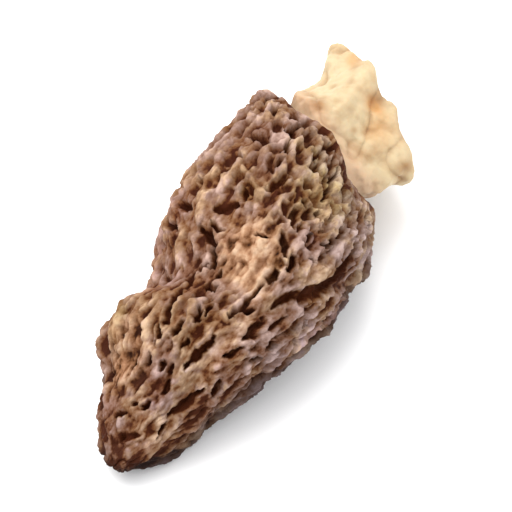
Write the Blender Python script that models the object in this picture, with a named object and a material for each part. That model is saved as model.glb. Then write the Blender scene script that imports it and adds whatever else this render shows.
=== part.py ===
"""A dried morel mushroom, lying on its side on a flat surface.

Two pieces: the hollow cap with its net of ridges and pits, and the short hollow stub of its stem.
Metres, +Z up. +X runs from the cap's tip to the stem's torn end, and the origin is on the surface,
under the middle of the mushroom's box.
"""

import math
import random

import bpy
import bmesh
import numpy as np
from mathutils import Vector
from mathutils.geometry import delaunay_2d_cdt

# Driving dimensions. "x" is the distance from the cap's tip, along the mushroom
CAP_LENGTH = 0.0460
STEM_LENGTH = 0.0095
TIP_ROUNDING = 0.0072
FLATNESS = 0.88
ORIGIN_FROM_TIP = Vector((0.0309, -0.0019, 0.0))

# Cross sections: x, radius, sideways bow of the middle, height of the middle
SECTIONS = np.array(
    (
        (0.0000, 0.0032, -0.0004, 0.0033),
        (0.0043, 0.0044, -0.0004, 0.0037),
        (0.0086, 0.0062, -0.0008, 0.0052),
        (0.0120, 0.0081, -0.0007, 0.0068),
        (0.0146, 0.0089, -0.0012, 0.0077),
        (0.0203, 0.0090, -0.0025, 0.0082),
        (0.0259, 0.0109, -0.0018, 0.0092),
        (0.0331, 0.0114, -0.0015, 0.0096),
        (0.0401, 0.0110, -0.0017, 0.0093),
        (0.0440, 0.0099, -0.0010, 0.0091),
        (0.0468, 0.0082, -0.0011, 0.0088),
        (0.0560, 0.0080, -0.0024, 0.0086),
    )
)

# The margin, where the cap ends, isn't square: its +Y side and its underside reach further back
SLANT = 0.60
LEAN = 0.42
SLANT_FROM, SLANT_TO = 0.018, 0.044

# Broad swellings of the cap: share of the radius, waves around, waves along per metre, phase
SWELLINGS_FADE = 0.011
SWELLINGS = ((0.035, 2, 95.0, 0.4), (0.028, 3, -120.0, 2.1), (0.018, 5, 210.0, 4.0))

# Dents: x, angle in degrees, depth, length, width
DENTS = ((0.0184, 40.0, 0.0017, 0.0029, 0.0060), (0.0262, 78.0, 0.0012, 0.0024, 0.0026))

# Long folds where the drying wall has sunk in: points of (x, angle in degrees), depth, half width
FOLDS = (
    (((0.006, 131), (0.019, 134), (0.025, 152), (0.033, 174), (0.040, 182)), 0.0017, 0.0010),
    (((0.007, 104), (0.013, 112), (0.022, 124)), 0.0009, 0.0008),
    (((0.025, 90), (0.031, 97), (0.037, 103)), 0.0009, 0.0008),
    (((0.010, 20), (0.022, 12), (0.036, 24), (0.043, 28)), 0.0013, 0.0010),
    (((0.012, 232), (0.026, 221), (0.042, 236)), 0.0012, 0.0010),
    (((0.020, 322), (0.030, 334), (0.044, 326)), 0.0012, 0.0010),
)
FOLD_FADE = 0.003

# Near the surface that it lies on, the pits and folds fade out over this height: its flat spots
FLAT_SPOT_FADE = 0.0006

# The net: width and length of a pit from ridge to ridge, and how deep it is
PIT_WIDTH = 0.0019
PIT_LENGTH = 0.0033
PIT_DEPTH = 0.0013
PIT_RIM_SHARE = 0.70
PIT_RIM_DROP = 0.00016
PIT_FLOOR_SHARE = 0.38
SMALL_PIT_DEPTH = 0.0008
LARGEST_PIT = 1.3
# Where folds and dents have sunk the wall in by this much, and at the tip, pits lose a share of their depth
SQUEEZING_DEPTH = 0.0010
SQUEEZED_SHARE = 0.62
SQUEEZED_TIP = 0.0045
RIDGE_UNEVENNESS = 0.00022
SHORTEST_RIDGE = 0.00035
FIRST_PITS = 0.0017
ROUND_PITS_TO, LONG_PITS_FROM = 0.002, 0.008
# Around the cap a ring has one of these numbers of pits, so that ridges run on from ring to ring
PITS_IN_A_RING = (4, 6, 9, 12, 16)
JITTER_AROUND = 0.13
JITTER_ALONG = 0.17
GUARD_RINGS = 3

# The hollow and the socket that the stem stands in
WALL = 0.0029
SOCKET_DEPTH = 0.0020
SOCKET_RADIUS = 0.0064
HOLLOW_MOUTH = 0.0048
HOLLOW_ROUNDING = 0.0070
HOLLOW_FROM = 0.0100
HOLLOW_RINGS = 9
LIP = 0.0006

# The stem's tube
NECK_RADIUS = 0.0059
STEM_SWELL = 0.0066
STEM_WALL = 0.0011
CLEARANCE = 0.0003
SWELL_BEFORE, SWELL_AFTER = 0.001, 0.0035
STEM_AROUND = 60
STEM_OUTER_ROWS = 12
STEM_INNER_ROWS = 6
# Lengthwise folds of the stem: depth, folds around, phase, twist per metre
STEM_FOLDS = ((0.00060, 3, 0.6, 40.0), (0.00042, 5, 2.0, -70.0), (0.00030, 8, 0.2, 110.0))
# The torn rim: height, waves around, phase
TORN_RIM = ((0.0015, 1, 1.04), (0.0006, 2, 4.1), (0.0005, 5, 1.7), (0.0004, 9, 0.3))

SHARP_ANGLE = math.radians(50)
CAP_COLOUR = (0.180, 0.110, 0.072, 1.0)
STEM_COLOUR = (0.760, 0.600, 0.370, 1.0)
CAP_ROUGHNESS = 0.75
STEM_ROUGHNESS = 0.70
SEED = 7


def smooth_step(low, high, value):
    share = np.clip((value - low) / (high - low), 0.0, 1.0)
    return share * share * (3.0 - 2.0 * share)


def curve_through(knots, values, x):
    """A smooth curve through the values at the knots, level beyond the first and the last."""
    slopes = np.gradient(values, knots)
    left = np.clip(np.searchsorted(knots, x) - 1, 0, len(knots) - 2)
    span = knots[left + 1] - knots[left]
    t = np.clip((x - knots[left]) / span, 0.0, 1.0)
    return (
        (2 * t**3 - 3 * t**2 + 1) * values[left]
        + (t**3 - 2 * t**2 + t) * span * slopes[left]
        + (3 * t**2 - 2 * t**3) * values[left + 1]
        + (t**3 - t**2) * span * slopes[left + 1]
    )


def section(x):
    """Radius, bow and height of the middle at x."""
    knots = SECTIONS[:, 0]
    return [curve_through(knots, SECTIONS[:, column], x) for column in (1, 2, 3)]


def point_at(x, reach, angle):
    """The point at a reach from the middle line, at an angle round it from +Y."""
    _, bow, middle = section(x)
    sideways = reach * np.cos(angle)
    upward = FLATNESS * reach * np.sin(angle)
    askew = smooth_step(SLANT_FROM, SLANT_TO, x)
    forward = askew * (SLANT * sideways - LEAN * upward)
    return np.stack((x + forward, bow + sideways, middle + upward), axis=-1)


def nose(x):
    """How far the section has grown, from 0 at the cap's tip to 1 past its rounding."""
    return np.sqrt(1.0 - (1.0 - np.clip(x / TIP_ROUNDING, 0.0, 1.0)) ** 2)


def turn_between(angle, other):
    return (angle - other + math.pi) % (2 * math.pi) - math.pi


def dent_depth(x, angle):
    """How far the wall has sunk in at its dents."""
    radius = section(x)[0]
    total = np.zeros_like(x)
    for at, degrees, depth, length, width in DENTS:
        aside = turn_between(angle, math.radians(degrees)) * radius
        total = total + depth * np.exp(-(((x - at) / length) ** 2) - (aside / width) ** 2)
    return total


def body_reach(x, angle):
    """The cap's radius without its folds and its net."""
    reach = section(x)[0] * nose(x)
    body = smooth_step(0.0, SWELLINGS_FADE, x)
    body = body * (1.0 - smooth_step(CAP_LENGTH - SWELLINGS_FADE, CAP_LENGTH, x))
    for share, around, along, phase in SWELLINGS:
        reach = reach * (1.0 + body * share * np.sin(around * angle + along * x + phase))
    return reach - dent_depth(x, angle)


def fold_depth(x, angle):
    """How far the wall has sunk in along its folds."""
    radius = section(x)[0]
    depth = np.zeros_like(x)
    for points, deepest, half_width in FOLDS:
        knots = np.array([point[0] for point in points])
        line = curve_through(knots, np.radians([float(point[1]) for point in points]), x)
        aside = turn_between(angle, line) * radius
        ends = smooth_step(knots[0] - FOLD_FADE, knots[0] + FOLD_FADE, x)
        ends = ends * (1.0 - smooth_step(knots[-1] - FOLD_FADE, knots[-1] + FOLD_FADE, x))
        depth = np.maximum(depth, deepest * ends * np.exp(-((aside / half_width) ** 2)))
    return depth


def squeeze(x, angle):
    """0 where the pits are as deep as they can be, and 1 where they are squeezed the most."""
    sunk = smooth_step(0.0, SQUEEZING_DEPTH, fold_depth(x, angle) + dent_depth(x, angle))
    return np.maximum(sunk, 1.0 - smooth_step(0.0, SQUEEZED_TIP, x))


def cap_outline():
    """x, radius and length along the skin, from the tip to past the margin."""
    steps = np.linspace(0.0, 1.0, 900)
    x = (CAP_LENGTH + GUARD_RINGS * PIT_LENGTH) * steps**2
    radius = section(x)[0] * nose(x)
    lengths = np.hypot(np.diff(x), np.diff(radius))
    return x, radius, np.concatenate(([0.0], np.cumsum(lengths)))


OUTLINE_X, OUTLINE_RADIUS, OUTLINE_ALONG = cap_outline()
MARGIN_ALONG = float(np.interp(CAP_LENGTH, OUTLINE_X, OUTLINE_ALONG))


def flat_map_radius():
    """Log of the radius at which each part of the cap's skin lies when it is spread on a disc.

    The tip is in the disc's middle, and the spreading is such that a pit keeps its shape.
    """
    lengthwise = 2.0 / 3.0**0.5 * PIT_WIDTH / PIT_LENGTH
    far = smooth_step(ROUND_PITS_TO, LONG_PITS_FROM, OUTLINE_ALONG)
    stretch = 1.0 + (1.0 / lengthwise - 1.0) * far
    middle_radius = np.maximum((OUTLINE_RADIUS[1:] + OUTLINE_RADIUS[:-1]) / 2, 1e-5)
    growth = np.diff(OUTLINE_ALONG) / (stretch[1:] * middle_radius)
    log_radius = np.concatenate(([0.0], np.cumsum(growth)))
    return log_radius - log_radius[-1]


FLAT_LOG_RADIUS = flat_map_radius()


def to_flat(along, angle):
    radius = math.exp(np.interp(along, OUTLINE_ALONG, FLAT_LOG_RADIUS))
    return Vector((radius * math.cos(angle), radius * math.sin(angle)))


def from_flat(point):
    radius = max(point.length, 1e-9)
    along = float(np.interp(math.log(radius), FLAT_LOG_RADIUS, OUTLINE_ALONG))
    return along, math.atan2(point.y, point.x)


def skin(along, angle, depth):
    """The point of the cap's skin at a length along it from the tip, sunk by a depth and by the folds."""
    step, turn = 1e-4, 1e-3

    def surface(along, angle):
        x = np.interp(along, OUTLINE_ALONG, OUTLINE_X)
        return point_at(x, body_reach(x, angle), angle)

    along = np.maximum(along, 3 * step)
    lengthwise = surface(along + step, angle) - surface(along - step, angle)
    crosswise = surface(along, angle + turn) - surface(along, angle - turn)
    outward = np.cross(crosswise, lengthwise)
    outward /= np.linalg.norm(outward, axis=-1, keepdims=True)
    x = np.interp(along, OUTLINE_ALONG, OUTLINE_X)
    top = surface(along, angle)
    sunk = (fold_depth(x, angle) + depth) * smooth_step(0.0, FLAT_SPOT_FADE, top[..., 2])
    point = top - outward * sunk[..., None]
    point[..., 2] = np.maximum(point[..., 2], 0.0)
    return point


def pit_middles(draw):
    """Where the pits are, as (length along the skin, angle): staggered rings, a little out of line."""
    middles = [(0.0, 0.0)]
    ring = -GUARD_RINGS
    while True:
        along = MARGIN_ALONG - (0.25 + 0.5 * ring) * PIT_LENGTH
        if along < FIRST_PITS:
            return middles
        girth = 2 * math.pi * np.interp(along, OUTLINE_ALONG, OUTLINE_RADIUS)
        wanted = girth / (2 * PIT_WIDTH)
        count = min(PITS_IN_A_RING, key=lambda number: abs(number - wanted))
        step = 2 * math.pi / count
        for number in range(count):
            aside = number + 0.5 * (ring % 2) + draw.uniform(-JITTER_AROUND, JITTER_AROUND)
            forward = draw.uniform(-JITTER_ALONG, JITTER_ALONG) * PIT_LENGTH
            middles.append((along + forward, aside * step))
        ring += 1


def pit_outlines(middles):
    """Each pit's ridge corners: the corners of the area that is nearer to its middle than to another's."""
    flat = [to_flat(along, angle) for along, angle in middles]
    _, _, triangles, kept, _, _ = delaunay_2d_cdt(flat, [], [], 0, 1e-9)
    assert len(kept) == len(flat)
    corners, around_pit = [], [[] for _ in flat]
    for triangle in triangles:
        a, b, c = (flat[kept[number][0]] for number in triangle)
        ab, ac = b - a, c - a
        area = 2 * ab.cross(ac)
        centre = a + Vector(
            (
                ac.y * ab.length_squared - ab.y * ac.length_squared,
                ab.x * ac.length_squared - ac.x * ab.length_squared,
            )
        ) / area
        for number in triangle:
            around_pit[kept[number][0]].append(len(corners))
        corners.append(centre)
    outlines = []
    for pit, numbers in enumerate(around_pit):
        middle = flat[pit]
        numbers.sort(key=lambda n: math.atan2(corners[n].y - middle.y, corners[n].x - middle.x))
        outlines.append(numbers)
    return corners, outlines


def cap_mesh():
    """The net of the outside, then the lip, the socket and the hollow, in one closed skin."""
    draw = random.Random(SEED)
    middles = pit_middles(draw)
    corners, outlines = pit_outlines(middles)
    inside, outside = [], set()
    for (along, _), outline in zip(middles, outlines):
        if along < MARGIN_ALONG:
            inside.append(outline)
        else:
            outside.update(outline)
    bm = bmesh.new()
    angles = bm.verts.layers.float.new("angle")
    squeezes = bm.verts.layers.float.new("squeeze")
    made = {}
    for number in sorted({corner for outline in inside for corner in outline}):
        along, angle = from_flat(corners[number])
        if number in outside:
            along = MARGIN_ALONG
        lowering = draw.uniform(0.0, 1.0) * RIDGE_UNEVENNESS
        made[number] = bm.verts.new(skin(np.array(along), np.array(angle), np.array(lowering)))
        made[number][angles] = angle
        made[number][squeezes] = squeeze(np.interp(along, OUTLINE_ALONG, OUTLINE_X), np.array(angle))
    for outline in inside:
        bm.faces.new([made[number] for number in reversed(outline)])
    close = bmesh.ops.find_doubles(bm, verts=bm.verts, dist=SHORTEST_RIDGE)
    bmesh.ops.weld_verts(bm, targetmap=close["targetmap"])
    sink_pits(bm)
    add_hollow(bm)
    bmesh.ops.recalc_face_normals(bm, faces=bm.faces)
    return bm


def sink_pits(bm):
    """Sinks a smaller copy of each pit's outline into the skin, which leaves the ridges standing."""
    pits = list(bm.faces)
    squeezes = bm.verts.layers.float["squeeze"]
    shapes = []
    for pit in pits:
        size = math.sqrt(pit.calc_area() / (PIT_WIDTH * PIT_LENGTH))
        depth = SMALL_PIT_DEPTH + (PIT_DEPTH - SMALL_PIT_DEPTH) * min(size, LARGEST_PIT)
        depth *= 1.0 - SQUEEZED_SHARE * max(vert[squeezes] for vert in pit.verts)
        shapes.append((pit, pit.calc_center_median(), pit.normal.copy(), depth))
    for share, least in ((PIT_RIM_SHARE, PIT_RIM_DROP), (PIT_FLOOR_SHARE / PIT_RIM_SHARE, None)):
        bmesh.ops.inset_individual(bm, faces=pits, thickness=0.0)
        for pit, middle, normal, depth in shapes:
            drop = depth if least is None else least
            for vert in pit.verts:
                above = min(max(vert.co.z / FLAT_SPOT_FADE, 0.0), 1.0)
                vert.co = middle + (vert.co - middle) * share - normal * drop * above
                vert.co.z = max(vert.co.z, 0.0)


def add_hollow(bm):
    """From the margin, over the lip, down the socket to the stem's seat, and round the hollow."""
    border = ordered_border(bm)
    layer = bm.verts.layers.float["angle"]
    angles = np.array([vert[layer] for vert in border])
    rings = [
        (CAP_LENGTH + LIP, SOCKET_RADIUS + LIP),
        (CAP_LENGTH, SOCKET_RADIUS),
        (CAP_LENGTH - SOCKET_DEPTH, SOCKET_RADIUS),
        (CAP_LENGTH - SOCKET_DEPTH, HOLLOW_MOUTH),
    ]
    last = border
    for x, reach in rings:
        x = np.full_like(angles, x)
        last = next_ring(bm, last, point_at(x, reach, angles))
    first_x = CAP_LENGTH - SOCKET_DEPTH
    for number in range(1, HOLLOW_RINGS + 1):
        share = number / HOLLOW_RINGS
        x = np.full_like(angles, first_x + (HOLLOW_FROM - first_x) * share)
        reach = body_reach(x, angles) - fold_depth(x, angles) - WALL
        opening = smooth_step(0.0, HOLLOW_ROUNDING, first_x - x)
        reach = HOLLOW_MOUTH + (reach - HOLLOW_MOUTH) * opening
        last = next_ring(bm, last, point_at(x, reach, angles))
    bm.faces.new(last)


def ordered_border(bm):
    """The open edge's points, one after another."""
    edges = [edge for edge in bm.edges if edge.is_boundary]
    following = {}
    for edge in edges:
        loop = edge.link_loops[0]
        following[loop.vert] = loop.link_loop_next.vert
    ring = [edges[0].link_loops[0].vert]
    while following[ring[-1]] is not ring[0]:
        ring.append(following[ring[-1]])
    return ring


def join_rings(bm, last, ring):
    for number, vert in enumerate(last):
        following = (number + 1) % len(last)
        bm.faces.new((vert, last[following], ring[following], ring[number]))


def next_ring(bm, last, points):
    ring = [bm.verts.new(point) for point in points]
    join_rings(bm, last, ring)
    return ring


def stem_folds(x, angle):
    """How far the stem's crumpled wall stands out or in at a place."""
    crumple = smooth_step(CAP_LENGTH - SOCKET_DEPTH, CAP_LENGTH + SWELL_AFTER, x)
    height = np.zeros_like(x)
    for depth, around, phase, twist in STEM_FOLDS:
        height = height + depth * np.cos(around * angle + phase + twist * x)
    return crumple * height


def stem_end(angle):
    """x of the torn rim."""
    end = np.full_like(angle, CAP_LENGTH + STEM_LENGTH)
    for height, around, phase in TORN_RIM:
        end = end + height * np.sin(around * angle + phase)
    return end


def stem_ring(share, depth, angle):
    """The stem's skin at a share of the way from its foot to the torn rim, or a depth under it."""
    foot = CAP_LENGTH - SOCKET_DEPTH + CLEARANCE
    x = foot + (stem_end(angle) - foot) * share
    swell = smooth_step(CAP_LENGTH - SWELL_BEFORE, CAP_LENGTH + SWELL_AFTER, x)
    reach = NECK_RADIUS + (STEM_SWELL - NECK_RADIUS) * swell + stem_folds(x, angle)
    return point_at(x, reach - depth, angle)


def stem_mesh():
    """A tube with a wall: its outside from foot to rim, then its inside back to the foot."""
    bm = bmesh.new()
    angle = np.linspace(0.0, 2 * math.pi, STEM_AROUND, endpoint=False)
    rows = [(row / STEM_OUTER_ROWS, 0.0) for row in range(STEM_OUTER_ROWS + 1)]
    rows += [(1.0 - row / STEM_INNER_ROWS, STEM_WALL) for row in range(STEM_INNER_ROWS + 1)]
    first = last = [bm.verts.new(point) for point in stem_ring(*rows[0], angle)]
    for share, depth in rows[1:]:
        last = next_ring(bm, last, stem_ring(share, depth, angle))
    join_rings(bm, last, first)
    bmesh.ops.recalc_face_normals(bm, faces=bm.faces)
    return bm


def material(name, colour, roughness):
    made = bpy.data.materials.new(name)
    made.use_nodes = True
    shader = made.node_tree.nodes["Principled BSDF"]
    shader.inputs["Base Color"].default_value = colour
    shader.inputs["Roughness"].default_value = roughness
    shader.inputs["Metallic"].default_value = 0.0
    return made


def add_piece(collection, name, bm, finish):
    mesh = bpy.data.meshes.new(name)
    bmesh.ops.translate(bm, verts=bm.verts, vec=-ORIGIN_FROM_TIP)
    bm.to_mesh(mesh)
    bm.free()
    mesh.materials.append(finish)
    mesh.shade_smooth()
    mesh.set_sharp_from_angle(angle=SHARP_ANGLE)
    piece = bpy.data.objects.new(name, mesh)
    collection.objects.link(piece)
    return piece


def main():
    for old in list(bpy.data.objects):
        bpy.data.objects.remove(old)
    morel = bpy.data.collections.new("morel")
    bpy.context.scene.collection.children.link(morel)
    add_piece(morel, "cap", cap_mesh(), material("dried_cap", CAP_COLOUR, CAP_ROUGHNESS))
    add_piece(morel, "stem", stem_mesh(), material("dried_stem", STEM_COLOUR, STEM_ROUGHNESS))


main()
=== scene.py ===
"""The look of the dried morel: finer skins for its cap and stem, their materials, light and camera.

The shape follows the same formulas as the part's source, in metres, with "x" the distance from the
cap's tip and the angle turning from +Y over the top. Only the net's ridges, pits and wrinkles are finer.
"""

import itertools
import math
import random

import bpy
import numpy as np
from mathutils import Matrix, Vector
from mathutils.kdtree import KDTree


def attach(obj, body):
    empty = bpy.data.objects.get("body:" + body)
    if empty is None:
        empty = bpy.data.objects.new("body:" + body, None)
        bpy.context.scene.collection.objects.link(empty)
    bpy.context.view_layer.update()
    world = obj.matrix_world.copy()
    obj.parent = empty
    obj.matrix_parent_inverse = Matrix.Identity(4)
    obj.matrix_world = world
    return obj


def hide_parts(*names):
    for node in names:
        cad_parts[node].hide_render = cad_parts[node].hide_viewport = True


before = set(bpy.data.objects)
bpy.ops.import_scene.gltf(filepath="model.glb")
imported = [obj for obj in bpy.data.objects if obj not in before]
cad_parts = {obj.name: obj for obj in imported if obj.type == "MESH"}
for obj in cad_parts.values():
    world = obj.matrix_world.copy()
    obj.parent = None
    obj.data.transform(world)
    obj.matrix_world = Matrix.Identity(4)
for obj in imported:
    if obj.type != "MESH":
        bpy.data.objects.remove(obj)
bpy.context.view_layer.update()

# The driving dimensions of the source
CAP_LENGTH = 0.0460
STEM_LENGTH = 0.0095
TIP_ROUNDING = 0.0072
FLATNESS = 0.88
ORIGIN_FROM_TIP = np.array((0.0309, -0.0019, 0.0))
SECTIONS = np.array(
    (
        (0.0000, 0.0032, -0.0004, 0.0033),
        (0.0043, 0.0044, -0.0004, 0.0037),
        (0.0086, 0.0062, -0.0008, 0.0052),
        (0.0120, 0.0081, -0.0007, 0.0068),
        (0.0146, 0.0089, -0.0012, 0.0077),
        (0.0203, 0.0090, -0.0025, 0.0082),
        (0.0259, 0.0109, -0.0018, 0.0092),
        (0.0331, 0.0114, -0.0015, 0.0096),
        (0.0401, 0.0110, -0.0017, 0.0093),
        (0.0440, 0.0099, -0.0010, 0.0091),
        (0.0468, 0.0082, -0.0011, 0.0088),
        (0.0560, 0.0080, -0.0024, 0.0086),
    )
)
SLANT = 0.60
LEAN = 0.42
SLANT_FROM, SLANT_TO = 0.018, 0.044
SWELLINGS_FADE = 0.011
SWELLINGS = ((0.035, 2, 95.0, 0.4), (0.028, 3, -120.0, 2.1), (0.018, 5, 210.0, 4.0))
DENTS = ((0.0184, 40.0, 0.0017, 0.0029, 0.0060), (0.0262, 78.0, 0.0012, 0.0024, 0.0026))
FOLDS = (
    (((0.006, 131), (0.019, 134), (0.025, 152), (0.033, 174), (0.040, 182)), 0.0011, 0.0010),
    (((0.007, 104), (0.013, 112), (0.022, 124)), 0.0006, 0.0008),
    (((0.025, 90), (0.031, 97), (0.037, 103)), 0.0009, 0.0008),
    (((0.010, 20), (0.022, 12), (0.036, 24), (0.043, 28)), 0.0013, 0.0010),
    (((0.012, 232), (0.026, 221), (0.042, 236)), 0.0012, 0.0010),
    (((0.020, 322), (0.030, 334), (0.044, 326)), 0.0012, 0.0010),
)
FOLD_FADE = 0.003
PIT_WIDTH = 0.0019
PIT_LENGTH = 0.0033
PIT_DEPTH = 0.0013
SQUEEZING_DEPTH = 0.0010
SQUEEZED_SHARE = 0.62
SQUEEZED_TIP = 0.0045
FIRST_PITS = 0.0017
ROUND_PITS_TO, LONG_PITS_FROM = 0.002, 0.008
PITS_IN_A_RING = (4, 6, 9, 12, 16)
JITTER_AROUND = 0.13
JITTER_ALONG = 0.17
GUARD_RINGS = 3
WALL = 0.0029
SOCKET_DEPTH = 0.0020
SOCKET_RADIUS = 0.0064
HOLLOW_MOUTH = 0.0048
HOLLOW_ROUNDING = 0.0070
HOLLOW_FRONT = 0.0115
HOLLOW_NOSE = 0.0060
LIP = 0.0006
NECK_RADIUS = 0.0059
STEM_SWELL = 0.0066
STEM_WALL = 0.0011
CLEARANCE = 0.0003
SWELL_BEFORE, SWELL_AFTER = 0.001, 0.0035
STEM_FOLDS = ((0.00060, 3, 0.6, 40.0), (0.00042, 5, 2.0, -70.0), (0.00030, 8, 0.2, 110.0))
TORN_RIM = ((0.0015, 1, 1.04), (0.0006, 2, 4.1), (0.0005, 5, 1.7), (0.0004, 9, 0.3))
SEED = 7

# How fine the skins are
CAP_AROUND = 384
TIP_AROUND = 192
FIRST_RING = 0.0003
TIP_TO = 0.0050
TIP_ROWS = 24
CAP_ROWS = 206
LIP_ROWS = 10
SOCKET_ROWS = 5
SEAT_ROWS = 4
HOLLOW_ROWS = 44
STEM_AROUND = 320
STEM_OUTER_ROWS = 130
STEM_RIM_ROWS = 8
STEM_INNER_ROWS = 56

# The net's ridges: half the width of the flat top and of the foot, and the heights of the ribs
NEAREST_PITS = 8
RIDGE_TOP = 0.00030
RIDGE_FOOT = 0.00092
RIDGE_WIDTH_CHANGE = 0.50
CREST_WIDTH = 0.00060
PIT_FLOOR = (0.00, 0.62)
BLEND_POWER = 7.0
LONG_RIDGE = (0.82, 1.00)
CROSS_RIB = (0.45, 0.90)
FLANK_CROSS_RIB = (0.05, 0.50)
NET_TOP = 1.08
# The floors are raised round this angle (degrees, half the width, power), and hardly past these lengths
FLOORS_RAISED = 0.12
RAISED_SIDE = (105, 1.3, 4)
RAISED_END = (0.030, 0.038)
RAISED_LESS = 0.8
# How the net wanders off its rows: size of the lumps, how far along and round the cap, and both seeds
WANDER = (
    (0.0032, 0.00070, 0.00055, 11, 13),
    (0.0012, 0.00034, 0.00030, 12, 14),
    (0.00055, 0.00012, 0.00012, 19, 20),
)

# The fine net of small slots that breaks up the ridges' tops and the pits
FINE_SLOT_WIDTH = 0.00095
FINE_SLOT_LENGTH = 0.00260
FINE_JITTER = (0.30, 0.40)
NEAREST_SLOTS = 5
FINE_RIDGE_TOP = 0.00010
FINE_RIDGE_FOOT = 0.00042
FINE_LONG_RIB = (0.28, 0.66)
FINE_CROSS_RIB = (0.05, 0.54)
SLOT_DEPTH = (0.00, 0.30)

# Parts of the cap with a look of their own. START and END are the lengths that they fade between, SIDE is
# the middle in degrees, half the width and how steeply they end. The net's cross ribs are lower on the
# flank and in the lined part, which is a spot: metres from the tip, degrees, half length, half width
FLANK_START, FLANK_SIDE = (0.006, 0.016), (190, 0.95, 2)
LINED, LINED_SHARE = (0.013, 136, 0.008, 28.648), 0.9
UPPER_START, UPPER_SIDE = (0.027, 0.033), (95, 0.9, 4)
TIP_END = (0.004, 0.016)

# What they do to the net's height, which is 0 in the pits and 1 on the ridges
TIP_LIFT, TIP_LIFT_TO = 0.5, 0.45
PALE_LIFT, PALE_LIFT_TO = 0.8, 0.84
RIM_LIFT, RIM_LIFT_TO = 0.5, 0.95
UPPER_SINK, UPPER_SINK_FROM, UPPER_SINK_AT_MOST = 0.45, 0.88, 0.5
SHADED_SINK = 0.45
HIGHEST = 1.05

# The skin's wrinkles: height, tone, which paints shade in their valleys and light on their lumps, size,
# seed, how much longer than wide, and how sharp, or 0 for lumps
WRINKLES = (
    (0.00024, 0.34, 0.0012, 21, 2.4, 0),
    (0.00006, 0.10, 0.00058, 22, 2.8, 0),
    (-0.00030, -0.42, 0.0013, 23, 3.2, 3),
    (-0.00011, -0.30, 0.00062, 26, 3.0, 2),
    (0.00006, 0.00, 0.00040, 24, 2.0, 0),
    (0.00028, 0.00, 0.0038, 25, 1.5, 0),
)
# The wrinkles' tone where they are level, from which their painted shade and light go down and up
WRINKLE_SHADE_MIDDLE = 0.66
PALE_SMOOTHER = 0.5
TIP_ROUGHER, TIP_SHALLOWER, TIP_SUNK_LESS = 0.35, 0.25, 0.2

# The margin: how far from it the skin is drawn back with it and rolls over, how much the roll fills the
# pits and sinks, and how much of the drawing back the socket's mouth follows
MARGIN_FADE = 0.006
ROLL_WIDTH = 0.0009
ROLL_FILLED = 0.40
ROLL_DEPTH = 0.00025
SOCKET_FOLLOWS = 0.8

# The underside painted dark with shade where it lies near the floor: the heights that it fades between, more
# at the tip, and how far down the skin faces
LOW_SHADE_UP_TO, LOW_SHADE_MORE_AT_TIP, LOW_SHADE_TIP_END = (-0.0010, 0.0020), 0.0040, 0.006
LOW_SHADE_FACING = (-0.62, 0.08)
LOW_SHADE_RAGGED = 0.14

# How far the cap's margin is drawn back, at some angles in degrees
MARGIN = (
    (0, 0.0006), (45, 0.0009), (75, 0.0006), (95, -0.0005), (110, -0.0010), (122, -0.0003), (140, 0.0012),
    (160, 0.0009), (190, 0.0003), (280, 0.0004), (360, 0.0006),
)

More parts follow.
